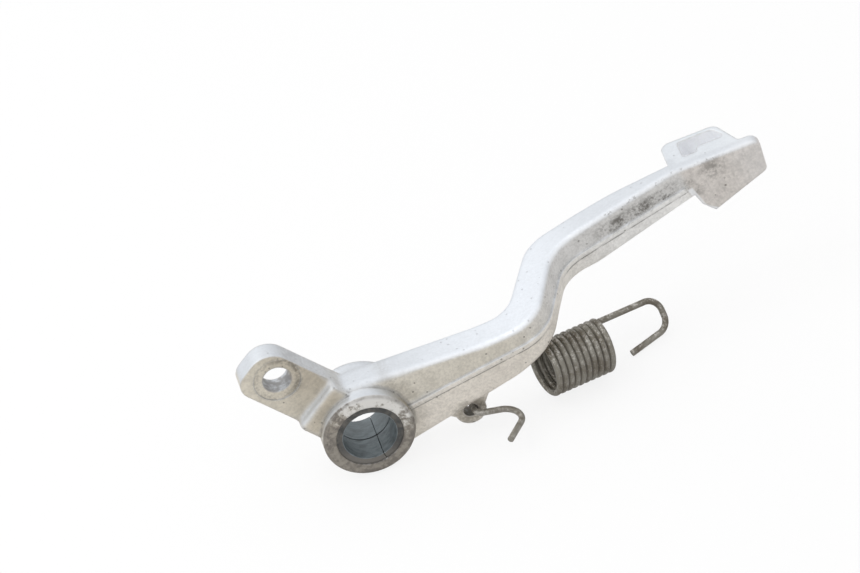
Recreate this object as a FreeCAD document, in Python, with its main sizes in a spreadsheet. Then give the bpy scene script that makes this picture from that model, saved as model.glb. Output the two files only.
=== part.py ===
import math
import os

import FreeCAD
import Part
import Sketcher
from FreeCAD import Vector

# A motorbike's cast rear brake pedal with its bushes and return spring, in millimetres.
# X runs from the pivot to the foot pad, Y along the pivot, Z up from the casting's parting plane.
SIZES = {
    # pivot boss and its two pressed bushes
    "boss_radius": 13.7,
    "boss_length": 19.2,
    "boss_edge": 0.9,
    "bush_radius": 10.0,
    "bore_radius": 8.0,
    "bush_gap": 0.45,
    "bush_recess": 0.3,
    "seam_gap": 0.15,
    "seam_angle": -85.0,
    # arm seen from above: a straight root, a joggle and a narrower shank
    "arm_front": 6.1,
    "arm_back": 6.0,
    "joggle_front_x": 58.8,
    "joggle_back_x": 50.5,
    "shank_front_x": 70.4,
    "shank_front_y": 19.3,
    "shank_back_x": 63.0,
    "shank_back_y": 29.4,
    "shank_wide_x": 92.0,
    "shank_wide_y": 31.8,
    "shank_blend": 80.0,
    "front_outer_bend": 13.0,
    "front_inner_bend": 11.0,
    "back_inner_bend": 9.0,
    "back_outer_bend": 12.0,
    # arm seen from the side: heights above and below the parting plane
    "root_start": 1.0,
    "root_over": 15.3,
    "root_under": 13.6,
    "waist_x": 46.0,
    "waist_over": 5.7,
    "waist_under": 9.4,
    "arch_x": 62.0,
    "arch_under": 4.7,
    "shank_x": 80.0,
    "shank_over": 7.3,
    "shank_under": 6.6,
    "shank_end_under": 3.0,
    "over_blend": 70.0,
    "under_blend": 25.0,
    "arm_round": 1.7,
    "draft_angle": 6.0,
    # raised parting line
    "ridge_width": 1.5,
    "ridge_proud": 0.45,
    # ear for the brake rod's clevis pin
    "ear_angle": 119.0,
    "ear_reach": 31.6,
    "ear_beyond": 9.5,
    "ear_outer_side": 8.8,
    "ear_inner_side": 7.2,
    "ear_outer_corner": 5.0,
    "ear_inner_corner": 7.0,
    "ear_front": 2.0,
    "ear_back": 4.6,
    "ear_pin_radius": 4.25,
    "ear_seat_radius": 7.0,
    "ear_seat_depth": 0.3,
    "web_reach": 17.6,
    "web_round": 1.3,
    # spring lug under the arm
    "lug_x": 28.2,
    "lug_drop": 13.7,
    "lug_radius": 4.7,
    "lug_foot": 8.6,
    "lug_front": 2.9,
    "lug_back": 2.1,
    "lug_hole_radius": 2.2,
    # foot pad: a hollow toe with a longer front plate
    "foot_x": 110.8,
    "foot_tip_x": 138.0,
    "foot_front_y": 25.2,
    "foot_back_y": 39.4,
    "foot_tip_over": 3.4,
    "foot_tip_under": 7.5,
    "foot_tip_lean": 2.0,
    "foot_heel_x": 117.0,
    "foot_heel_under": 12.0,
    "foot_neck_x": 114.4,
    "foot_neck_under": 7.8,
    "foot_root_x": 113.4,
    "plate_wall": 3.5,
    "plate_toe": 5.6,
    "foot_shoulder_x": 127.8,
    "foot_wall": 1.4,
    "foot_heel_wall": 5.0,
    "foot_land": 5.3,
    "foot_step_x": 120.4,
    "foot_step": 2.4,
    "foot_floor": 8.0,
    "hollow_round": 1.1,
    "foot_corner": 3.0,
    "foot_round": 1.5,
    # return spring
    "wire_radius": 0.95,
    "coil_radius": 7.3,
    "coil_pitch": 1.97,
    "coil_turns": 9.91,
    "coil_x": 51.2,
    "coil_y": 0.8,
    "coil_drop": 8.3,
    "coil_yaw": 16.6,
    "coil_dip": 17.0,
    "coil_roll": 33.0,
    "coil_start_angle": 45.0,
    "coil_entry": 5.4,
    "coil_exit_bend": 3.0,
    "hook_seat_gap": 0.3,
    "hook_bend": 2.3,
    "tail_dip": 22.0,
    "tail_run": 16.6,
    "tail_bend": 5.0,
    "tail_turn": 123.0,
    "tail_end": 18.0,
    "free_leg": 22.4,
    "free_bend": 4.2,
    "free_tail": 14.0,
    "free_tail_spread": 12.0,
}

doc = FreeCAD.newDocument("brake_pedal")


def make_sheet():
    sheet = doc.addObject("Spreadsheet::Sheet", "sizes")
    for row, (name, value) in enumerate(SIZES.items(), 1):
        sheet.set("A%d" % row, name)
        sheet.set("B%d" % row, str(value))
        sheet.setAlias("B%d" % row, name)
    doc.recompute()
    return sheet


sheet = make_sheet()


def size(name):
    return float(sheet.get(name))


def number(text):
    return float(sheet.evalExpression(text))


def cell(text):
    """The same formula as another object of the document has to write it."""
    words = sorted(SIZES, key=len, reverse=True)
    out = ""
    at = 0
    while at < len(text):
        word = next((w for w in words if text.startswith(w, at)), None)
        out += "sizes." + word if word else text[at]
        at += len(word) if word else 1
    return out


def new_body(name):
    return doc.addObject("PartDesign::Body", name)


def origin_plane(body, role):
    return next(feature for feature in body.Origin.OriginFeatures if feature.Role == role)


def new_sketch(body, name, role, offset="0", turn="0"):
    sketch = body.newObject("Sketcher::SketchObject", name)
    sketch.AttachmentSupport = [(origin_plane(body, role), "")]
    sketch.MapMode = "FlatFace"
    sketch.setExpression("AttachmentOffset.Base.z", cell(offset))
    sketch.AttachmentOffset = FreeCAD.Placement(Vector(0, 0, number(offset)), Vector(0, 0, 1), number(turn))
    sketch.setExpression("AttachmentOffset.Rotation.Angle", cell(turn))
    return sketch


def bind(sketch, kind, index, spot, text):
    value = number(text)
    if spot is None:
        which = sketch.addConstraint(Sketcher.Constraint(kind, index, value))
    else:
        which = sketch.addConstraint(Sketcher.Constraint(kind, -1, 1, index, spot, value))
    sketch.setExpression("Constraints[%d]" % which, cell(text))


def round_corner(sketch, line, radius):
    arc = sketch.GeometryCount
    sketch.fillet(line, 1, number(radius), True, True)
    bind(sketch, "Radius", arc, None, radius)


def draw_outline(sketch, points):
    """A closed outline of (x, y) corners, each with a third entry where its corner is rounded."""
    places = [Vector(number(point[0]), number(point[1]), 0) for point in points]
    first = sketch.GeometryCount
    for start, end in zip(places, places[1:] + places[:1]):
        sketch.addGeometry(Part.LineSegment(start, end))
    count = len(points)
    for step in range(count):
        after = first + (step + 1) % count
        sketch.addConstraint(Sketcher.Constraint("Coincident", first + step, 2, after, 1))
    for step, point in enumerate(points):
        bind(sketch, "DistanceX", first + step, 1, point[0])
        bind(sketch, "DistanceY", first + step, 1, point[1])
    for step, point in enumerate(points):
        if len(point) > 2:
            round_corner(sketch, first + step, point[2])


def draw_circle(sketch, x, y, radius):
    index = sketch.GeometryCount
    sketch.addGeometry(Part.Circle(Vector(number(x), number(y), 0), Vector(0, 0, 1), number(radius)))
    bind(sketch, "DistanceX", index, 3, x)
    bind(sketch, "DistanceY", index, 3, y)
    bind(sketch, "Radius", index, None, radius)


def extrude(body, kind, sketch, length):
    before = body.Tip.Shape.Volume if kind == "Pocket" else 0
    feature = body.newObject("PartDesign::" + kind, sketch.Name + "_" + kind.lower())
    feature.Profile = sketch
    feature.setExpression("Length", cell(length))
    body.Tip = feature
    doc.recompute()
    if kind == "Pocket" and feature.Shape.Volume > before - 1e-3:
        raise RuntimeError(sketch.Name + " cuts nothing")
    return feature


def edge_names(shape, wanted):
    return ["Edge%d" % n for n, edge in enumerate(shape.Edges, 1) if wanted(edge)]


def dress(body, kind, name, wanted, length):
    base = body.Tip
    feature = body.newObject("PartDesign::" + kind, name)
    feature.Base = (base, edge_names(base.Shape, wanted))
    feature.setExpression("Radius" if kind == "Fillet" else "Size", cell(length))
    body.Tip = feature
    doc.recompute()
    return feature


def along(edge, axis):
    if not isinstance(edge.Curve, Part.Line):
        return False
    return abs(edge.tangentAt(edge.FirstParameter).dot(axis)) > 0.999


def upright_at(x, y):
    def wanted(edge):
        place = edge.CenterOfMass
        here = abs(place.x - number(x)) < 0.05 and abs(place.y - number(y)) < 0.05
        return here and along(edge, Vector(0, 0, 1))
    return wanted


# Arm: the plan outline, with its bends
ARM_PLAN = [
    ("-root_start", "-arm_front"),
    ("joggle_front_x", "-arm_front", "front_outer_bend"),
    ("shank_front_x", "shank_front_y", "front_inner_bend"),
    ("foot_root_x + plate_wall", "foot_front_y"),
    ("foot_root_x + plate_wall", "foot_front_y + foot_land"),
    ("shank_wide_x", "shank_wide_y", "shank_blend"),
    ("shank_back_x", "shank_back_y", "back_outer_bend"),
    ("joggle_back_x", "arm_back", "back_inner_bend"),
    ("-root_start", "arm_back"),
]


def grown(points, by):
    """The outline moved outward by a distance, corner by corner."""
    out = []
    for step, (x, y, *bend) in enumerate(points):
        x0, y0 = points[step - 1][:2]
        x1, y1 = points[(step + 1) % len(points)][:2]
        came = "atan2((%s) - (%s); (%s) - (%s))" % (y, y0, x, x0)
        goes = "atan2((%s) - (%s); (%s) - (%s))" % (y1, y, x1, x)
        lead = "tan((%s - %s) / 2)" % (goes, came)
        corner = [
            "%s + %s * (sin(%s) + %s * cos(%s))" % (x, by, came, lead, came),
            "%s + %s * (%s * sin(%s) - cos(%s))" % (y, by, lead, came, came),
        ]
        for radius in bend:
            corner.append("%s %s %s" % (radius, "+" if number(lead) > 0 else "-", by))
        out.append(corner)
    return out


def make_half(name, profile, below):
    """Half of the arm, tapered away from the parting plane and cut to its side view."""
    body = new_body(name)
    plan = new_sketch(body, name + "_plan", "XY_Plane")
    draw_outline(plan, ARM_PLAN)
    block = extrude(body, "Pad", plan, "root_over")
    block.Reversed = below
    doc.recompute()

    def long_wall(face):
        return face.BoundBox.ZLength > 1 and face.BoundBox.XLength > 1

    taper = body.newObject("PartDesign::Draft", name + "_taper")
    taper.Base = (block, ["Face%d" % n for n, face in enumerate(block.Shape.Faces, 1) if long_wall(face)])
    taper.NeutralPlane = (origin_plane(body, "XY_Plane"), [""])
    taper.setExpression("Angle", cell("draft_angle"))
    taper.Reversed = below
    body.Tip = taper
    doc.recompute()
    side = new_sketch(body, name + "_side", "XZ_Plane", "foot_tip_x")
    draw_outline(side, profile)
    extrude(body, "Pocket", side, "2 * foot_tip_x")

    def on_rim(edge):
        box = edge.BoundBox
        level = box.ZLength < 0.5 * max(box.XLength, box.YLength)
        return level and min(abs(box.ZMin), abs(box.ZMax)) > 1 and box.XLength > 0.01

    dress(body, "Fillet", name + "_edges", on_rim, "arm_round")
    return body


def make_arm():
    upper = make_half("arm_upper", [
        ("-root_start", "root_over"),
        ("waist_x", "waist_over", "over_blend"),
        ("shank_x", "shank_over", "over_blend"),
        ("foot_x", "shank_over"),
        ("foot_tip_x", "foot_tip_over"),
        ("foot_tip_x", "2 * root_over"),
        ("-root_start", "2 * root_over"),
    ], False)
    lower = make_half("arm_lower", [
        ("-root_start", "-root_under"),
        ("-root_start", "-2 * root_over"),
        ("foot_tip_x", "-2 * root_over"),
        ("foot_tip_x", "-shank_end_under"),
        ("shank_x", "-shank_under", "under_blend"),
        ("arch_x", "-arch_under", "under_blend"),
        ("waist_x", "-waist_under", "under_blend"),
    ], True)
    return [upper, lower]


def make_ridge():
    body = new_body("ridge")
    plan = new_sketch(body, "ridge_plan", "XY_Plane", "-ridge_width / 2")
    draw_outline(plan, grown(ARM_PLAN, "ridge_proud"))
    extrude(body, "Pad", plan, "ridge_width")
    end = new_sketch(body, "ridge_end", "XY_Plane", "ridge_width")
    draw_outline(end, [
        ("foot_x + ridge_width", "0"),
        ("foot_tip_x", "0"),
        ("foot_tip_x", "foot_back_y"),
        ("foot_x + ridge_width", "foot_back_y"),
    ])
    extrude(body, "Pocket", end, "2 * ridge_width")
    return body


def make_hub():
    body = new_body("hub")
    boss = new_sketch(body, "boss_round", "XZ_Plane", "-boss_length / 2")
    draw_circle(boss, "0", "0", "boss_radius")
    extrude(body, "Pad", boss, "boss_length")
    dress(body, "Chamfer", "boss_edges", lambda edge: isinstance(edge.Curve, Part.Circle), "boss_edge")
    return body


def make_ear():
    body = new_body("ear")
    bar = new_sketch(body, "ear_bar", "XZ_Plane", "-ear_back", "ear_angle")
    draw_outline(bar, [
        ("0", "-ear_inner_side"),
        ("ear_reach + ear_beyond", "-ear_inner_side", "ear_inner_corner"),
        ("ear_reach + ear_beyond", "ear_outer_side", "ear_outer_corner"),
        ("0", "ear_outer_side"),
    ])
    extrude(body, "Pad", bar, "ear_front + ear_back")
    web = new_sketch(body, "ear_web", "XZ_Plane", "-ear_back", "ear_angle")
    draw_outline(web, [
        ("0", "-ear_inner_side"),
        ("web_reach", "-ear_inner_side"),
        ("web_reach", "ear_outer_side"),
        ("0", "ear_outer_side"),
    ])
    extrude(body, "Pad", web, "arm_front + ear_back")
    turn = math.radians(size("ear_angle"))
    ahead = Vector(math.cos(turn), 0, math.sin(turn))

    def across_web(edge):
        reach = edge.CenterOfMass.dot(ahead)
        return abs(reach - size("web_reach")) < 0.05 and not along(edge, Vector(0, 1, 0))

    dress(body, "Fillet", "web_edges", across_web, "web_round")
    return body


def make_lug():
    body = new_body("lug")
    tab = new_sketch(body, "lug_tab", "XZ_Plane", "-lug_back")
    draw_outline(tab, [
        ("lug_x - lug_foot", "-waist_under / 2"),
        ("lug_x - lug_foot", "-waist_under"),
        ("lug_x - lug_radius", "-lug_drop"),
        ("lug_x + lug_radius", "-lug_drop"),
        ("lug_x + lug_foot", "-waist_under"),
        ("lug_x + lug_foot", "-waist_under / 2"),
    ])
    extrude(body, "Pad", tab, "lug_front + lug_back")
    nose = new_sketch(body, "lug_nose", "XZ_Plane", "-lug_back")
    draw_circle(nose, "lug_x", "-lug_drop", "lug_radius")
    extrude(body, "Pad", nose, "lug_front + lug_back")
    return body


def make_foot():
    body = new_body("foot")
    side = new_sketch(body, "foot_side", "XZ_Plane", "-foot_back_y")
    draw_outline(side, [
        ("foot_x", "shank_over"),
        ("foot_x", "-ridge_width"),
        ("foot_root_x", "-ridge_width", "foot_corner"),
        ("foot_neck_x", "-foot_neck_under"),
        ("foot_heel_x", "-foot_heel_under"),
        ("foot_tip_x - foot_tip_lean", "-foot_tip_under"),
        ("foot_tip_x", "foot_tip_over", "foot_corner"),
    ])
    extrude(body, "Pad", side, "foot_back_y - foot_front_y")
    trim = new_sketch(body, "foot_trim", "XY_Plane", "2 * foot_heel_under")
    draw_outline(trim, [
        ("foot_shoulder_x", "foot_back_y"),
        ("foot_tip_x - plate_toe", "foot_front_y + plate_wall", "foot_round"),
        ("2 * foot_tip_x", "foot_front_y + plate_wall"),
        ("2 * foot_tip_x", "2 * foot_back_y"),
        ("foot_shoulder_x", "2 * foot_back_y"),
    ])
    extrude(body, "Pocket", trim, "4 * foot_heel_under")
    dress(body, "Fillet", "foot_back_corner", upright_at("foot_x", "foot_back_y"), "foot_corner")
    dress(body, "Fillet", "foot_shoulder", upright_at("foot_shoulder_x", "foot_back_y"), "foot_corner")

    def front_rim(edge):
        box = edge.BoundBox
        front = max(abs(box.YMin - size("foot_front_y")), abs(box.YMax - size("foot_front_y"))) < 0.01
        return front and (box.ZMin > 0 or box.XMin > size("foot_tip_x") - size("foot_tip_lean") - 0.1)

    dress(body, "Fillet", "foot_front_rim", front_rim, "foot_round")
    hollow = new_sketch(body, "foot_hollow", "XY_Plane", "2 * foot_heel_under")
    draw_outline(hollow, [
        ("foot_x + foot_heel_wall", "foot_front_y + foot_land", "hollow_round"),
        ("foot_step_x", "foot_front_y + foot_land", "hollow_round"),
        ("foot_step_x", "foot_front_y + foot_land + foot_step", "hollow_round"),
        ("foot_tip_x - plate_toe - 2 * foot_wall", "foot_front_y + foot_land + foot_step", "hollow_round"),
        ("foot_shoulder_x - foot_wall", "foot_back_y - foot_wall", "hollow_round"),
        ("foot_x + foot_heel_wall", "foot_back_y - foot_wall", "hollow_round"),
    ])
    extrude(body, "Pocket", hollow, "2 * foot_heel_under + foot_tip_under - foot_floor")
    return body


def round_bar(name, radius, length, x, y, z):
    bar = doc.addObject("Part::Cylinder", name)
    bar.setExpression("Radius", cell(radius))
    bar.setExpression("Height", cell(length))
    bar.Placement = FreeCAD.Placement(Vector(), Vector(1, 0, 0), -90)
    bar.setExpression("Placement.Base.x", cell(x))
    bar.setExpression("Placement.Base.y", cell(y))
    bar.setExpression("Placement.Base.z", cell(z))
    return bar


EAR_X = "ear_reach * cos(ear_angle)"
EAR_Z = "ear_reach * sin(ear_angle)"


def make_pedal():
    casting = doc.addObject("Part::MultiFuse", "casting")
    casting.Shapes = make_arm() + [make_ridge(), make_hub(), make_ear(), make_lug(), make_foot()]
    casting.Refine = True
    holes = doc.addObject("Part::MultiFuse", "holes")
    holes.Shapes = [
        round_bar("bush_seat", "bush_radius", "2 * boss_length", "0", "-boss_length", "0"),
        round_bar("pin_hole", "ear_pin_radius", "2 * boss_length", EAR_X, "-boss_length", EAR_Z),
        round_bar("pin_seat", "ear_seat_radius", "boss_length", EAR_X,
                  "-ear_front + ear_seat_depth - boss_length", EAR_Z),
        round_bar("lug_hole", "lug_hole_radius", "2 * boss_length", "lug_x", "-boss_length", "-lug_drop"),
    ]
    pedal = doc.addObject("Part::Cut", "pedal")
    pedal.Base = casting
    pedal.Tool = holes
    doc.recompute()
    return pedal


def make_bush(name, sign):
    body = new_body(name)
    length = "(boss_length - bush_gap) / 2 - bush_recess"
    start = "bush_gap / 2" if sign < 0 else "bush_recess - boss_length / 2"
    ring = new_sketch(body, name + "_ring", "XZ_Plane", start)
    draw_circle(ring, "0", "0", "bush_radius")
    draw_circle(ring, "0", "0", "bore_radius")
    extrude(body, "Pad", ring, length)
    seam = new_sketch(body, name + "_seam", "XZ_Plane", "%s + %s" % (start, length), "seam_angle")
    draw_outline(seam, [
        ("0", "-seam_gap / 2"),
        ("2 * bush_radius", "-seam_gap / 2"),
        ("2 * bush_radius", "seam_gap / 2"),
        ("0", "seam_gap / 2"),
    ])
    extrude(body, "Pocket", seam, length)
    return body


def turned(points, radii):
    """Edges of a wire bent from straight runs, with an arc of the given radius at each inner point."""
    edges = []
    at = points[0]
    for before, here, after, radius in zip(points, points[1:], points[2:], radii):
        came = (here - before).normalize()
        goes = (after - here).normalize()
        half = came.getAngle(goes) / 2
        start = here - came * radius * math.tan(half)
        end = here + goes * radius * math.tan(half)
        inward = (goes - came).normalize()
        middle = here + inward * (radius / math.cos(half) - radius)
        if (start - at).Length > 1e-4:
            edges.append(Part.LineSegment(at, start).toShape())
        edges.append(Part.Arc(start, middle, end).toShape())
        at = end
    edges.append(Part.LineSegment(at, points[-1]).toShape())
    return edges


def swept(path):
    start = path.Edges[0].valueAt(path.Edges[0].FirstParameter)
    heading = path.Edges[0].tangentAt(path.Edges[0].FirstParameter)
    section = Part.Wire(Part.makeCircle(size("wire_radius"), start, heading))
    return path.makePipeShell([section], True, False)


def make_spring():
    yaw = math.radians(size("coil_yaw"))
    dip = math.radians(-size("coil_dip"))
    roll = math.radians(size("coil_roll"))
    axis = Vector(math.cos(dip) * math.cos(yaw), math.cos(dip) * math.sin(yaw), math.sin(dip))
    rise = Vector(-math.sin(dip) * math.cos(yaw), -math.sin(dip) * math.sin(yaw), math.cos(dip))
    left = Vector(-math.sin(yaw), math.cos(yaw), 0)
    up = rise * math.cos(roll) + left * math.sin(roll)
    away = up.cross(axis)
    wire = size("wire_radius")
    radius = size("coil_radius")
    depth = size("coil_drop") + (radius + wire) * math.cos(dip)
    foot = Vector(size("coil_x"), size("coil_y"), -depth) + axis * wire

    def rim(angle):
        return up * math.cos(angle) + away * math.sin(angle)

    def heading(angle):
        turn = away * math.cos(angle) - up * math.sin(angle)
        return (turn * (2 * math.pi * radius) + axis * size("coil_pitch")).normalize()

    first = math.radians(size("coil_start_angle"))
    last = first + 2 * math.pi * size("coil_turns")
    length = size("coil_pitch") * size("coil_turns")
    coil = Part.makeHelix(size("coil_pitch"), length, radius, 0, True)
    coil.Placement = FreeCAD.Placement(
        foot, FreeCAD.Rotation(rim(first), axis.cross(rim(first)), axis, "ZXY"))
    coil_start = foot + rim(first) * radius
    coil_end = foot + axis * length + rim(last) * radius
    bend = size("coil_exit_bend")
    hook = size("hook_bend")
    seat = size("lug_hole_radius") - wire - size("hook_seat_gap")
    dive = math.radians(-size("tail_dip"))
    pull = Vector(math.cos(dive), 0, math.sin(dive))
    eye = Vector(size("lug_x"), 0, -size("lug_drop")) + pull * seat
    behind = eye + Vector(0, size("lug_back") + hook, 0)
    ahead = eye - Vector(0, size("lug_front") + hook, 0)
    turn = math.radians(size("tail_turn"))
    elbow = ahead + pull * size("tail_run")
    tail = elbow + (pull * math.cos(turn) - Vector(0, 1, 0) * math.sin(turn)) * size("tail_end")
    entry = coil_start - heading(first) * size("coil_entry")
    corners = [tail, elbow, ahead, behind, entry, coil_start]
    left_path = turned(corners, [size("tail_bend"), hook, hook, bend])
    leave = coil_end + heading(last) * (bend * math.tan(heading(last).getAngle(axis) / 2))
    crook = leave + axis * size("free_leg")
    spread = math.radians(size("free_tail_spread"))
    back = crook - up * size("free_bend") * (1 + math.tan(math.pi / 4 + spread / 2))
    end = back - (axis * math.cos(spread) + up * math.sin(spread)) * size("free_tail")
    right_path = turned([coil_end, leave, crook, back, end], [bend, size("free_bend"), size("free_bend")])
    spring = doc.addObject("Part::Feature", "return_spring")
    spring.Shape = swept(Part.Wire(left_path + coil.Edges + right_path))
    return spring


def write_parts(parts):
    doc.recompute()
    for item in doc.Objects:
        if "Invalid" in item.State or "Error" in item.State:
            raise RuntimeError("%s failed: %s" % (item.Name, item.State))
    for part in parts:
        if part.Shape.isNull() or not part.Shape.isValid():
            raise RuntimeError(part.Label + " has no valid shape")
        print(part.Label, "solids", len(part.Shape.Solids), "volume", round(part.Shape.Volume, 1))
    os.makedirs("parts", exist_ok=True)
    for part in parts:
        part.Shape.exportStep("parts/%s.step" % part.Label)


write_parts([make_pedal(), make_bush("bush_outer", -1), make_bush("bush_inner", 1), make_spring()])
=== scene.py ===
import math

import bpy
from mathutils import Matrix, Vector

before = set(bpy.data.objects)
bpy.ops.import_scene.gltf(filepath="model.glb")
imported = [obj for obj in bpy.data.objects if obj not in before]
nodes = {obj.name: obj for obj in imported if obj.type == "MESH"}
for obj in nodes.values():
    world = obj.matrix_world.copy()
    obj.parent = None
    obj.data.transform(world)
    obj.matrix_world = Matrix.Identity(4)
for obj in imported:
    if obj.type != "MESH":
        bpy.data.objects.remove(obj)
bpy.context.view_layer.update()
mm = 0.001
print("frame loaded:", ", ".join(sorted(nodes)))


class Sock:  # one socket of a material, with sums that add their own nodes
    def __init__(self, tree, socket=None):
        self.tree = tree
        self.socket = socket

    def node(self, kind, settings=None, values=None, out=0):
        made = self.tree.nodes.new(kind)
        for name, value in (settings or {}).items():
            setattr(made, name, value)
        for key, value in (values or {}).items():
            if isinstance(value, Sock):
                self.tree.links.new(value.socket, made.inputs[key])
            else:
                made.inputs[key].default_value = value
        return Sock(self.tree, made.outputs[out])

    def also(self, name):  # another output of the same node
        return Sock(self.tree, self.socket.node.outputs[name])

    def sum(self, operation, first, second):
        return self.node("ShaderNodeMath", {"operation": operation}, {0: first, 1: second})

    def __add__(self, other):
        return self.sum("ADD", self, other)

    def __radd__(self, other):
        return self.sum("ADD", other, self)

    def __sub__(self, other):
        return self.sum("SUBTRACT", self, other)

    def __rsub__(self, other):
        return self.sum("SUBTRACT", other, self)

    def __mul__(self, other):
        return self.sum("MULTIPLY", self, other)

    def __rmul__(self, other):
        return self.sum("MULTIPLY", other, self)

    def __truediv__(self, other):
        return self.sum("DIVIDE", self, other)

    def __rtruediv__(self, other):
        return self.sum("DIVIDE", other, self)

    def __pow__(self, other):
        return self.sum("POWER", self, other)

    def __or__(self, other):  # the larger of two masks
        return self.sum("MAXIMUM", self, other)

    def __neg__(self):
        return self.sum("MULTIPLY", self, -1.0)

    def rise(self, low, high):  # 0 below low, 1 above high, smooth between
        values = {0: self, 1: low, 2: high}
        return self.node("ShaderNodeMapRange", {"interpolation_type": "SMOOTHSTEP"}, values)

    def band(self, low, high, soft):  # 1 between low and high, fading over soft each way
        return self.rise(low - soft, low + soft) * (1 - self.rise(high - soft, high + soft))

    def span(self, none, full):  # a number from none, where this mask is 0, to full
        return none + self * (full - none)

    def tint(self, mask, colour):  # this colour, turning into another where the mask is 1
        values = {0: mask, 6: self, 7: colour if isinstance(colour, Sock) else (*colour, 1)}
        return self.node("ShaderNodeMix", {"data_type": "RGBA"}, values, out=2)


def blended(patterns, shares):  # one pattern out of several
    first, *rest = (pattern * share for pattern, share in zip(patterns, shares))
    return sum(rest, first)


class Finish:  # a material under way, with what its patterns are made from
    def __init__(self, name):
        self.material = bpy.data.materials.new(name)
        self.material.use_nodes = True
        tree = self.material.node_tree
        self.shader = tree.nodes["Principled BSDF"]
        self.start = Sock(tree)
        self.place = self.start.node("ShaderNodeTexCoord").also("Object")
        self.turned = self.place.also("Normal")  # the piece's own, which swings with it
        self.facing = self.start.node("ShaderNodeNewGeometry").also("Normal")
        self.x, self.y, self.z = (part / mm for part in self.parts(self.place))
        self.radius = self.away((0, 0))  # from the pivot's axis

    def parts(self, vector):
        split = self.start.node("ShaderNodeSeparateXYZ", None, {0: vector})
        return [split.also(axis) for axis in "XYZ"]

    def away(self, spot):  # millimetres from a spot, seen along the pivot's axis
        along, up = self.x - spot[0], self.z - spot[1]
        return (along * along + up * up) ** 0.5

    def stretched(self, scale):
        return self.start.node("ShaderNodeMapping", None, {"Vector": self.place, "Scale": scale})

    def noise(self, size, detail, rough, place=None):  # size of a patch in millimetres
        values = {
            "Vector": place or self.place,
            "Scale": 1 / (size * mm),
            "Detail": detail,
            "Roughness": rough,
        }
        return self.start.node("ShaderNodeTexNoise", None, values)

    def pits(self, spacing, radius, share):  # round spots in some cells of a scattered grid
        values = {"Vector": self.place, "Scale": 1 / (spacing * mm)}
        cells = self.start.node("ShaderNodeTexVoronoi", None, values)
        drawn = self.start.node("ShaderNodeSeparateColor", None, {0: cells.also("Color")})
        rim, step = radius / spacing, 0.02
        return (1 - cells.rise(rim / 2, rim)) * drawn.rise(1 - share, 1 - share + step)

    def mix(self, mask, first, second):
        values = {0: mask, 6: (*first, 1), 7: (*second, 1)}
        return self.start.node("ShaderNodeMix", {"data_type": "RGBA"}, values, out=2)

    def hollow(self, reach):  # 1 in corners and under edges
        values = {"Distance": reach * mm}
        shade = self.start.node("ShaderNodeAmbientOcclusion", {"samples": 8}, values)
        return 1 - shade.also("AO")

    def soften(self, radius):  # the normal, with its sharp edges rounded
        return self.start.node("ShaderNodeBevel", {"samples": 6}, {"Radius": radius * mm})

    def edges(self, rounded, least, most):  # 1 along sharp edges
        values = {0: rounded, 1: self.facing}
        level = self.start.node("ShaderNodeVectorMath", {"operation": "DOT_PRODUCT"}, values)
        return (1 - level.also("Value")).rise(least, most)

    def bump(self, height, depth, normal):
        values = {"Height": height, "Distance": depth * mm, "Normal": normal}
        return self.start.node("ShaderNodeBump", None, values)

    def feed(self, **sockets):
        for name, value in sockets.items():
            target = self.shader.inputs[name.replace("_", " ")]
            if isinstance(value, Sock):
                value.tree.links.new(value.socket, target)
            else:
                target.default_value = value
        return self.material


def dress(name, material):
    nodes[name].data.materials.clear()
    nodes[name].data.materials.append(material)


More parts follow.
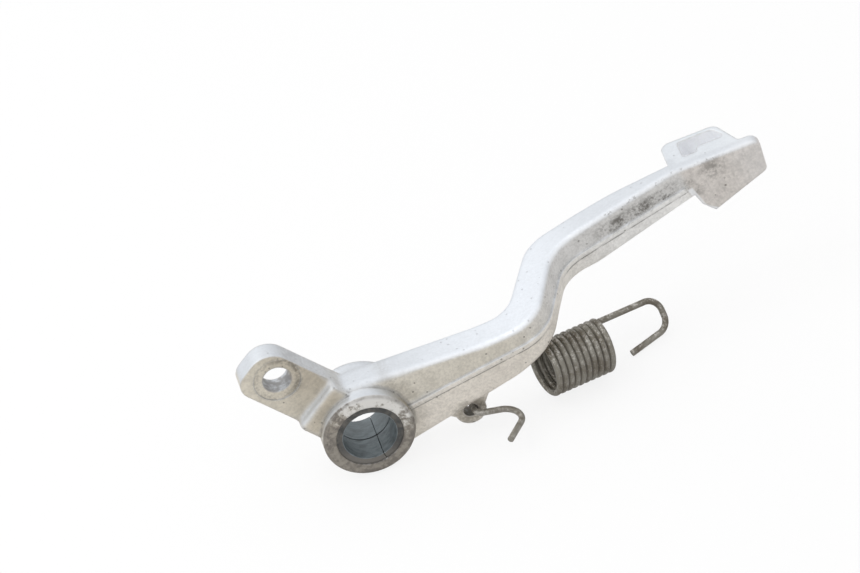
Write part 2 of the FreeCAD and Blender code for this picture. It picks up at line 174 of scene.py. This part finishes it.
castLook = {
    "tone": {
        # painted light: the lighter, bluer colour of faces turned up, and of their ends
        "litTop": (0.855, 0.89, 0.94),
        "litTopEnds": (0.73, 0.76, 0.80),
        "side": (0.80, 0.755, 0.665),
        "shank": (0.79, 0.78, 0.765),
        # painted reflection of the pale floor on the strip below the ridge, stronger along the
        # shank
        "low": (0.92, 0.865, 0.785),
        "lowFar": (0.98, 0.97, 0.95),
        "ear": (0.84, 0.785, 0.675),
        "web": (0.62, 0.56, 0.46),
        "plate": (0.83, 0.785, 0.745),
        "barrel": (0.58, 0.54, 0.46),
        # pale white: painted light inside the pocket, painted highlights on the rims and the
        # heel's lip, and the toe end's lighter tint
        "paleWhite": (0.97, 0.98, 1.0),
        # painted light on the loop's top faces
        "litLoopTop": (0.80, 0.835, 0.875),
        # real wear on edges, also the painted highlight on the ridge's crest
        "wornAndHighlight": (0.88, 0.87, 0.85),
        "darkBrown": (0.33, 0.30, 0.25),
        # real grime, also the painted shadow under the ridge and the painted shade in corners
        "grimeAndShade": (0.10, 0.09, 0.075),
        "rust": (0.20, 0.18, 0.16),
        "pit": (0.13, 0.12, 0.10),
    },
    "cloud": {  # noise: size of a patch in millimetres, detail, roughness
        "broad": (15, 4.0, 0.55),
        "mid": (3.4, 6.0, 0.62),
        "fine": (0.8, 5.0, 0.65),
        "crust": (1.7, 5.0, 0.6),
        "nick": (1.5, 5.0, 0.62),
        "brush": (1.8, 5.0, 0.6),
    },
    "share": {  # of the mid, fine and broad noise
        "mottle": (0.3, 0.5, 0.2),
        "stain": (0.45, 0.4, 0.15),
    },
    "cut": {  # level of a pattern at which a mask begins, and is full
        "mottle": (0.38, 0.64),
        "stain": (0.42, 0.58),
        "topCloud": (0.4, 0.6),
        "nick": (0.56, 0.66),
        "ridgeShadow": (0.25, 0.6),
        "brush": (0.44, 0.68),
        "pinRust": (0.35, 0.6),
        "ringCrust": (0.4, 0.62),
        "ringRust": (0.0, 0.95),
        "pocketShade": (0.12, 0.35),
        "cornerShade": (0.15, 0.9),
        "corner": (0.3, 0.6),
        "sharp": (0.01, 0.12),
        "wornAndHighlight": (0.25, 0.55),
    },
    "tilt": {  # part of the normal, at which a mask begins, and is full
        "front": (0.5, 0.85),
        "litTop": (0.12, 0.85),
        "earTop": 0.14,  # so much later on the ear
        "webTop": 0.2,
        "earEdge": (0.4, 0.75),
        "rimUp": (0.45, 0.86, 0.15),
        "rimFront": (0.25, 0.5),
        "lipHighlight": (0.1, 0.4),
    },
    "fade": {  # millimetres from the pivot, at which a mask begins, and is full
        "armX": (10, 16),
        "sideX": (46, 68),
        "lowX": (50, 92),
        "ridgeZ": (0.55, 0.95),
        "footX": (111.9, 114.4),
        "loopX": (107, 109),
        "loopY": (31.5, 32.1),
        "plateBackY": (27.7, 29.2),
        "pocketX": (115.2, 115.7),
        "pocketZ": (0.0, 0.4),
        "toeX": (124, 134),
        "nickX": (74, 86),
        "lipZ": (-1.2, -0.4),
        "earX": (-3, 4),  # leftwards
        "earZ": (3, 9),
        "earToWebX": (-24, -6),
        "webX": (-13, -8),
        "barrel": (14.2, 15),
        "bossEndY": (8.2, 8.9),
        "ring": (13.6, 14.0),
        "ringRim": (12.6, 13.3),
        "neckX": (8, 13),
    },
    "band": {  # millimetres: start, end, and how softly both fade
        "bossRadius": (11, 22, 2),
        "bossY": (-6.5, 8.5, 0.8),
        "topMiddleX": (26, 74, 14),
        "shankStainZ": (0.75, 4.6, 1.0),
        "crestZ": (-0.6, 0.6, 0.2),
        "ridgeShadowZ": (-1.5, -0.85, 0.2),
        "lipHighlight": (-0.8, 0.7, 0.3),  # past the heel's line
        "smudge": (-0.6, 2.6, 1.2),
        "smudgeZ": (-4, 2.4, 2),
        "pinSeat": (5.6, 7.4, 0.5),
        "neck": (14, 18, 1.5),
        "neckY": (-8.5, 4, 1.5),
    },
    "spot": {  # along and up from the pivot, in millimetres
        "pin": (-15.3, 27.6),
        "lug": (28.2, -13.7),
        "thumb": (122.0, 2.2),
    },
    "near": {  # millimetres from such a spot
        "pinHole": (4.4, 4.6),
        "pinRight": (-1, 5),  # to the right of it
        "lugDark": (3.5, 7),
        "thumb": (0.6, 5.5),
    },
    "heel": {  # the line at which the shank meets the foot plate
        "from": (113.4, -0.75),
        "to": (114.4, -7.8),
        "turn": (0, 8),  # below its end it swings towards the toe
        "swing": 5,
    },
    "shankStain": {"x": 97, "unit": 10, "fade": (0.2, 2.6)},  # by the distance squared
    "ringRust": {  # falls off towards the bright side
        "aim": (0.62, 0.78),
        "fall": 0.13,
        "level": 1.35,
        "mid": 2.2,
        "crust": 1.6,
    },
    "much": {  # strength of a mask, or its strength without and with a pattern
        "topCloud": 0.2,
        "earEdge": 0.85,
        "rim": 0.5,
        "nick": 0.5,
        "mottle": (0.09, 0.26),
        "toe": 0.2,
        "shankStain": (0.2, 0.84),
        "crestHighlight": 0.12,
        "ridgeShadow": 0.7,
        "smudge": (0.15, 0.55),
        "thumb": (0.08, 0.48),
        "lipHighlight": 0.85,
        "brush": 0.13,
        "pinSeat": (0.2, 0.55),
        "pinRust": 0.6,
        "farEnd": 0.75,
        "ringWorn": 0.8,
        "ringRust": (0.62, 0.96),
        "ringRim": (0.2, 0.8),
        "lugDark": (0.5, 0.9),
        "neck": (0.1, 0.26),
        "corner": 0.65,
        "cornerShade": 1.4,
        "speck": (0.62, 0.22),
        "wornAndHighlight": 0.45,
    },
    "rounding": (0.9, 2.7),  # of the edges, and of the boss's blends, in millimetres
    "pocketReach": 12,
    "cornerReach": 2.5,
    "brushStretch": (1.5, 1, 0.5),
    "smallPits": (1.7, 0.36, 0.16),  # spacing and radius in millimetres, share of the cells
    "largePits": (4.0, 0.46, 0.3),
    "roughness": (0.40, 0.62),
    "dirtRougher": 0.2,
    "metallic": 0.72,
    "dirtDuller": 0.4,
    "grain": (0.6, 0.6, -1.2),  # height of the fine and mid noise, and of the specks
    "grainDepth": 0.1,
}


def castingFinish(look):
    f = Finish("castAluminium")
    tone, cloud, cut, tilt = (look[key] for key in ("tone", "cloud", "cut", "tilt"))
    fade, band, spot, near, much = (look[key] for key in ("fade", "band", "spot", "near", "much"))
    broad, mid, fine, crust = (f.noise(*cloud[key]) for key in ("broad", "mid", "fine", "crust"))
    mottle = blended((mid, fine, broad), look["share"]["mottle"]).rise(*cut["mottle"])
    stain = blended((mid, fine, broad), look["share"]["stain"]).rise(*cut["stain"])

    # where each region lies
    blend = f.radius.band(*band["bossRadius"]) * f.y.band(*band["bossY"])
    rounded = f.soften(blend.span(*look["rounding"]))
    nx, ny, nz = f.parts(rounded)
    front = (-ny).rise(*tilt["front"])
    foot = f.x.rise(*fade["footX"]) | f.x.rise(*fade["loopX"]) * f.y.rise(*fade["loopY"])
    arm = f.x.rise(*fade["armX"]) * (1 - foot)
    ear = (-f.x).rise(*fade["earX"]) * f.z.rise(*fade["earZ"])
    web = ear * f.x.rise(*fade["webX"])
    # painted light falls on faces turned up, later on the ear and web
    topLow, topHigh = tilt["litTop"]
    litTop = nz.rise(topLow + ear * tilt["earTop"] + web * tilt["webTop"], topHigh)
    beneath = 1 - f.z.rise(*fade["ridgeZ"])
    barrel = (1 - f.radius.rise(*fade["barrel"])) * (1 - ear)
    behind = foot * f.y.rise(*fade["plateBackY"])
    inside = behind * f.hollow(look["pocketReach"]).rise(*cut["pocketShade"])
    inside = inside * f.x.rise(*fade["pocketX"]) * f.z.rise(*fade["pocketZ"])
    outside = 1 - inside
    plate = front * (1 - behind)

    # plain colour of each region, with painted light on faces turned up, a painted reflection
    # below the ridge and painted light in the pocket
    colour = f.mix(f.x.rise(*fade["sideX"]), tone["side"], tone["shank"])
    # painted reflection of the pale floor on the strip below the ridge
    reflectedUnderside = f.mix(f.x.rise(*fade["lowX"]), tone["low"], tone["lowFar"])
    colour = colour.tint(arm * beneath, reflectedUnderside)
    colour = colour.tint(ear, f.mix(f.x.rise(*fade["earToWebX"]), tone["ear"], tone["web"]))
    colour = colour.tint(foot, tone["plate"])
    colour = colour.tint(barrel, tone["barrel"])
    # painted light on faces turned up, brightest in the arm's middle
    topCloud = broad.rise(*cut["topCloud"]) * much["topCloud"]
    middle = f.x.band(*band["topMiddleX"]) * (1 - much["topCloud"]) + topCloud
    colour = colour.tint(litTop, f.mix(middle, tone["litTopEnds"], tone["litTop"]))
    # painted light on the ear's rounding that faces along the arm
    colour = colour.tint(ear * nx.rise(*tilt["earEdge"]) * much["earEdge"], tone["litTopEnds"])
    # painted light on the loop's top
    colour = colour.tint(behind * litTop, tone["litLoopTop"])
    # painted light inside the pocket, where its walls lie in shade
    colour = colour.tint(inside, tone["paleWhite"])

    # painted highlights on the rounded front rims, with dark nicks, and the mottling of the bare
    # casting
    rim = nz.band(*tilt["rimUp"]) * (-ny).rise(*tilt["rimFront"]) * (arm | foot)
    # painted highlight along the rounded front rim of the arm and foot
    colour = colour.tint(rim * much["rim"], tone["paleWhite"])
    nicks = f.noise(*cloud["nick"]).rise(*cut["nick"]) * rim * f.x.rise(*fade["nickX"])
    colour = colour.tint(nicks * much["nick"], tone["grimeAndShade"])
    sooty = ((1 - litTop) * outside).span(*much["mottle"])
    colour = colour.tint(mottle * sooty, tone["grimeAndShade"])
    # the toe end of the foot lighter
    toe = foot * f.x.rise(*fade["toeX"]) * outside
    colour = colour.tint(toe * much["toe"], tone["paleWhite"])

    # stain on the shank, and the parting line: a painted highlight on its crest and a painted
    # shadow below it
    along = (f.x - look["shankStain"]["x"]) / look["shankStain"]["unit"]
    shank = 1 - (along * along).rise(*look["shankStain"]["fade"])
    shank = shank * f.z.band(*band["shankStainZ"]) * front
    colour = colour.tint(shank * stain.span(*much["shankStain"]), tone["grimeAndShade"])
    # painted highlight on the parting ridge's crest
    crestHighlight = f.z.band(*band["crestZ"]) * arm * front
    colour = colour.tint(crestHighlight * much["crestHighlight"], tone["wornAndHighlight"])
    # painted shadow just below the parting ridge, broken up by noise
    ridgeShadow = f.z.band(*band["ridgeShadowZ"]) * arm * front * mid.rise(*cut["ridgeShadow"])
    colour = colour.tint(ridgeShadow * much["ridgeShadow"], tone["grimeAndShade"])

    # foot plate: a smudge and a painted highlight on the lip along its heel, a thumb mark,
    # brushing
    (neckX, neckZ), (heelX, heelZ) = look["heel"]["from"], look["heel"]["to"]
    slope = (heelX - neckX) / (heelZ - neckZ)
    swing = (heelZ - f.z).rise(*look["heel"]["turn"]) * look["heel"]["swing"]
    fromHeel = f.x - neckX - (f.z - neckZ) * slope - swing
    smudge = fromHeel.band(*band["smudge"]) * f.z.band(*band["smudgeZ"]) * plate
    colour = colour.tint(smudge * stain.span(*much["smudge"]), tone["grimeAndShade"])
    thumb = (1 - f.away(spot["thumb"]).rise(*near["thumb"])) * plate
    colour = colour.tint(thumb * stain.span(*much["thumb"]), tone["grimeAndShade"])
    # painted highlight on the lip along the heel
    lipHighlight = fromHeel.band(*band["lipHighlight"]) * (-ny).rise(*tilt["lipHighlight"]) * (1 - f.z.rise(*fade["lipZ"]))
    colour = colour.tint(lipHighlight * much["lipHighlight"], tone["paleWhite"])
    brushed = f.noise(*cloud["brush"], f.stretched(look["brushStretch"])).rise(*cut["brush"])
    colour = colour.tint(foot * front * outside * brushed * much["brush"], tone["grimeAndShade"])

    # the ear's hole and the worn seat round it
    fromPin = f.away(spot["pin"])
    seat = fromPin.band(*band["pinSeat"]) * front * stain
    dirtier = (f.x - spot["pin"][0]).rise(*near["pinRight"]).span(*much["pinSeat"])
    colour = colour.tint(seat * dirtier, tone["grimeAndShade"])
    hole = (1 - fromPin.rise(*near["pinHole"])) * ear * mid.rise(*cut["pinRust"])
    colour = colour.tint(hole * much["pinRust"], tone["rust"])

    # rusty ring on each end of the boss, brighter on one side
    ends = (-f.y).rise(*fade["bossEndY"]) | f.y.rise(*fade["bossEndY"]) * much["farEnd"]
    ring = (1 - f.radius.rise(*fade["ring"])) * ends
    spread = look["ringRust"]
    upper = blended((f.x, f.z), spread["aim"])
    uneven = (mid - 0.5) * spread["mid"] + (crust - 0.5) * spread["crust"]
    rusty = (spread["level"] + uneven - upper * spread["fall"]).rise(*cut["ringRust"])
    colour = colour.tint(ring * (1 - rusty) * much["ringWorn"], tone["wornAndHighlight"])
    crusty = crust.rise(*cut["ringCrust"]).span(*much["ringRust"])
    colour = colour.tint(ring * rusty * crusty, tone["rust"])
    ringRim = ring * f.radius.rise(*fade["ringRim"]) * crust.span(*much["ringRim"])
    colour = colour.tint(ringRim, tone["rust"])

    # darker brown round the lug's hole and where the arm leaves the boss, painted shade in
    # corners
    lug = 1 - f.away(spot["lug"]).rise(*near["lugDark"])
    colour = colour.tint(lug * stain.span(*much["lugDark"]), tone["darkBrown"])
    neck = f.radius.band(*band["neck"]) * f.x.rise(*fade["neckX"]) * f.y.band(*band["neckY"])
    colour = colour.tint(neck * stain.span(*much["neck"]), tone["darkBrown"])
    # painted shade in corners and under edges, broken up by noise
    corner = f.hollow(look["cornerReach"]) * outside
    shaded = (corner * much["cornerShade"]).rise(*cut["cornerShade"]) * mid.rise(*cut["corner"])
    colour = colour.tint(shaded * much["corner"], tone["grimeAndShade"])

    # specks, and edges rubbed bright
    speck = f.pits(*look["smallPits"]) | f.pits(*look["largePits"])
    colour = colour.tint(speck * litTop.span(*much["speck"]), tone["pit"])
    wornAndHighlight = f.edges(rounded, *cut["sharp"]) * mid.rise(*cut["wornAndHighlight"]) * (1 - corner) * (1 - ring)
    colour = colour.tint(wornAndHighlight * much["wornAndHighlight"], tone["wornAndHighlight"])

    dirt = (shank * stain) | (ring * rusty)
    height = blended((fine, mid, speck), look["grain"])
    return f.feed(
        Base_Color=colour,
        Roughness=mid.span(*look["roughness"]) + dirt * look["dirtRougher"],
        Metallic=look["metallic"] - (dirt + inside) * look["dirtDuller"],
        Normal=f.bump(height, look["grainDepth"], rounded),
    )


bushLook = {
    "ring": (0.08, 0.081, 0.08),
    "ringWorn": (0.17, 0.16, 0.145),
    "ringLow": (0.25, 0.235, 0.215),
    "zinc": (0.29, 0.335, 0.355),
    "darkAndShade": (0.17, 0.19, 0.20),
    "streak": (1.6, 6.0, 0.65),  # noise, as for the casting
    "streakStretch": (0.5, 1.6, 0.5),
    "mid": (2.0, 5.0, 0.55),
    "boreEdge": (8.05, 8.25),
    "wornCut": (0.35, 0.72),
    "aim": (0.48, 0.88),  # towards the darker side of the ring
    "ripple": 6,
    "darkerSideFade": (-7, 1),
    "lowMuch": 0.7,
    "zincShare": (0.6, 0.4),
    "zincCut": (0.36, 0.64),
    "deepY": (-1, 7),
    "deepMuch": 0.5,
    "grain": (0.4, 0.6),
    "grainDepth": 0.05,
    "rounding": 0.2,
    "roughness": (0.34, 0.59),
    "metallic": 0.7,
}


def bushFinish(look):
    f = Finish("bushSteel")
    streak = f.noise(*look["streak"], f.stretched(look["streakStretch"]))
    mid = f.noise(*look["mid"])
    colour = f.mix(mid.rise(*look["wornCut"]), look["ring"], look["ringWorn"])
    darkerSide = (blended((f.x, f.z), look["aim"]) + mid * look["ripple"]).rise(*look["darkerSideFade"])
    # the ring lighter on the side away from the aim
    colour = colour.tint((1 - darkerSide) * look["lowMuch"], look["ringLow"])
    zinc = blended((streak, mid), look["zincShare"]).rise(*look["zincCut"])
    inside = f.mix(zinc, look["darkAndShade"], look["zinc"])
    # painted shade deeper in the bore
    inside = inside.tint(f.y.rise(*look["deepY"]) * look["deepMuch"], look["darkAndShade"])
    colour = colour.tint(1 - f.radius.rise(*look["boreEdge"]), inside)
    height = blended((streak, mid), look["grain"])
    return f.feed(
        Base_Color=colour,
        Roughness=mid.span(*look["roughness"]),
        Metallic=look["metallic"],
        Normal=f.bump(height, look["grainDepth"], f.soften(look["rounding"])),
    )


springLook = {
    "steel": (0.265, 0.25, 0.215),
    "brown": (0.165, 0.145, 0.115),
    "wornAndHighlight": (0.60, 0.58, 0.54),
    "dust": (0.31, 0.28, 0.24),
    "broad": (6, 4.0, 0.55),  # noise, as for the casting
    "mid": (1.6, 6.0, 0.65),
    "fine": (0.35, 4.0, 0.6),
    "brownCut": (0.4, 0.65),
    "fleckCut": (0.50, 0.59),
    "upTilt": (0.0, 0.9),
    "fleckMuch": (0.3, 1.0),  # beneath the wire and on top of it
    "lugHookX": (44, 49),  # where that hook ends
    "freeHookX": (86, 94),  # where it begins
    "freeHookMuch": 0.3,
    "tipCut": (0.4, 0.65),
    "tipMuch": (0.14, 0.39),
    "grooveReach": 1.2,
    "grooveCut": (0.35, 0.8),
    "dustMuch": 0.75,
    "half": (0.5, 0.5),
    "grainDepth": 0.07,
    "roughness": (0.4, 0.65),
    "dustRougher": 0.3,
    "metallic": (0.65, 0.05),  # the wire, and the dust between its turns
}


def springFinish(look):
    f = Finish("springSteel")
    broad, mid, fine = (f.noise(*look[key]) for key in ("broad", "mid", "fine"))
    grain = blended((mid, fine), look["half"])
    colour = f.mix(broad.rise(*look["brownCut"]), look["steel"], look["brown"])
    # worn flecks, with a painted highlight: many more where the wire faces up
    rubbedAndLit = f.parts(f.turned)[2].rise(*look["upTilt"]).span(*look["fleckMuch"])
    colour = colour.tint(grain.rise(*look["fleckCut"]) * rubbedAndLit, look["wornAndHighlight"])
    freeHook = f.x.rise(*look["freeHookX"]) * look["freeHookMuch"]
    tips = (1 - f.x.rise(*look["lugHookX"])) | freeHook  # hooks rubbed brighter than the coil
    colour = colour.tint(tips * mid.rise(*look["tipCut"]).span(*look["tipMuch"]), look["wornAndHighlight"])
    groove = f.hollow(look["grooveReach"]).rise(*look["grooveCut"])
    colour = colour.tint(groove * look["dustMuch"], look["dust"])  # dry dirt between the turns
    return f.feed(
        Base_Color=colour,
        Roughness=fine.span(*look["roughness"]) + groove * look["dustRougher"],
        Metallic=groove.span(*look["metallic"]),
        Normal=f.bump(grain, look["grainDepth"], f.facing),
    )


dress("pedal", castingFinish(castLook))
steel = bushFinish(bushLook)
dress("bush_outer", steel)
dress("bush_inner", steel)
dress("return_spring", springFinish(springLook))
print("finishes set on", len(nodes), "nodes")


def lookingRays(start):  # rays from the camera, and those that metal and glass send on
    ray = start.node("ShaderNodeLightPath")
    return ray.also("Is Camera Ray"), ray.also("Is Glossy Ray") | ray.also("Is Transmission Ray")


bench = {
    "tilt": 13.6,  # degrees, as the pedal leans in the photograph
    "reach": 3.0,  # metres each way
    "colour": (0.9, 0.9, 0.9),
    "roughness": 0.8,
    "seeThrough": 0.84,  # of the white behind it
}


def makeBench(look):
    tilt = math.radians(look["tilt"])
    across = Vector((math.cos(tilt), 0, -math.sin(tilt)))
    normal = Vector((math.sin(tilt), 0, math.cos(tilt)))
    level = min(normal.dot(v.co) for node in nodes.values() for v in node.data.vertices)
    bpy.ops.mesh.primitive_plane_add(size=1)
    floor = bpy.context.object
    floor.name = "bench"
    turn = Matrix((across, Vector((0, 1, 0)), normal)).transposed().to_4x4()
    grow = Matrix.Scale(2 * look["reach"], 4)
    floor.data.transform(Matrix.Translation(normal * level) @ turn @ grow)
    paint = bpy.data.materials.new("paleBench")
    paint.use_nodes = True
    tree = paint.node_tree
    start = Sock(tree)
    shader = tree.nodes["Principled BSDF"]
    shader.inputs["Base Color"].default_value = (*look["colour"], 1)
    shader.inputs["Roughness"].default_value = look["roughness"]
    seen, mirrored = lookingRays(start)
    mixed = start.node("ShaderNodeMixShader", None, {
        0: (seen | mirrored) * look["seeThrough"],
        1: Sock(tree, shader.outputs[0]),
        2: start.node("ShaderNodeBsdfTransparent"),
    })
    tree.links.new(mixed.socket, tree.nodes["Material Output"].inputs["Surface"])
    floor.data.materials.append(paint)


makeBench(bench)
print("bench placed")


studio = {
    "sky": 1.0,
    "room": 0.42,  # what lies level with the pedal and below it
    "horizon": (-0.1, 0.7),
    "mirrored": 0.7,  # the least that metal shows of the white
    "keyPower": 1.6,
    "keySize": 0.5,
    "keyAway": 0.8,
    "keyFrom": (-0.35, 0.15, 0.9),
}


def lightStudio(look):
    world = bpy.data.worlds.new("studio")
    bpy.context.scene.world = world
    world.use_nodes = True
    tree = world.node_tree
    start = Sock(tree)
    outward = start.node("ShaderNodeTexCoord").also("Generated")
    height = start.node("ShaderNodeSeparateXYZ", None, {0: outward}).also("Z")
    light = height.rise(*look["horizon"]).span(look["room"], look["sky"])
    seen, mirrored = lookingRays(start)
    strength = light | seen | mirrored * look["mirrored"]
    tree.links.new(strength.socket, tree.nodes["Background"].inputs["Strength"])
    tree.nodes["Background"].inputs["Color"].default_value = (1, 1, 1, 1)
    lamp = bpy.data.lights.new("softbox", "AREA")
    lamp.energy = look["keyPower"]
    lamp.size = look["keySize"]
    box = bpy.data.objects.new("softbox", lamp)
    away = Vector(look["keyFrom"]).normalized()
    box.location = away * look["keyAway"]
    box.rotation_mode = "QUATERNION"
    box.rotation_quaternion = away.to_track_quat("Z", "Y")
    bpy.context.scene.collection.objects.link(box)


lightStudio(studio)
bpy.context.scene.view_settings.view_transform = "Standard"
print("lights set")


camera = {
    "azimuth": 5.71,
    "elevation": 36.58,
    "roll": -31.17,
    "aim": (34.6, 16.8, 17.9),  # millimetres, seen at the picture's middle
    "away": 3.0,  # metres
    "across": 0.2486,  # metres seen across the picture
    "farthest": 100,
}


def placeCamera(look):
    turn, rise, roll = (math.radians(look[key]) for key in ("azimuth", "elevation", "roll"))
    level = Vector((math.cos(turn), math.sin(turn), 0))
    outward = Vector((math.sin(turn), -math.cos(turn), 0))
    back = outward * math.cos(rise) + Vector((0, 0, math.sin(rise)))
    right = level * math.cos(roll) + back.cross(level) * math.sin(roll)
    data = bpy.data.cameras.new("camera")
    data.lens = data.sensor_width * look["away"] / look["across"]
    data.clip_end = look["farthest"]
    eye = bpy.data.objects.new("camera", data)
    facing = Matrix((right, back.cross(right), back)).transposed().to_4x4()
    place = Vector(look["aim"]) * mm + back * look["away"]
    eye.matrix_world = Matrix.Translation(place) @ facing
    bpy.context.scene.collection.objects.link(eye)
    bpy.context.scene.camera = eye


placeCamera(camera)
print("camera placed")
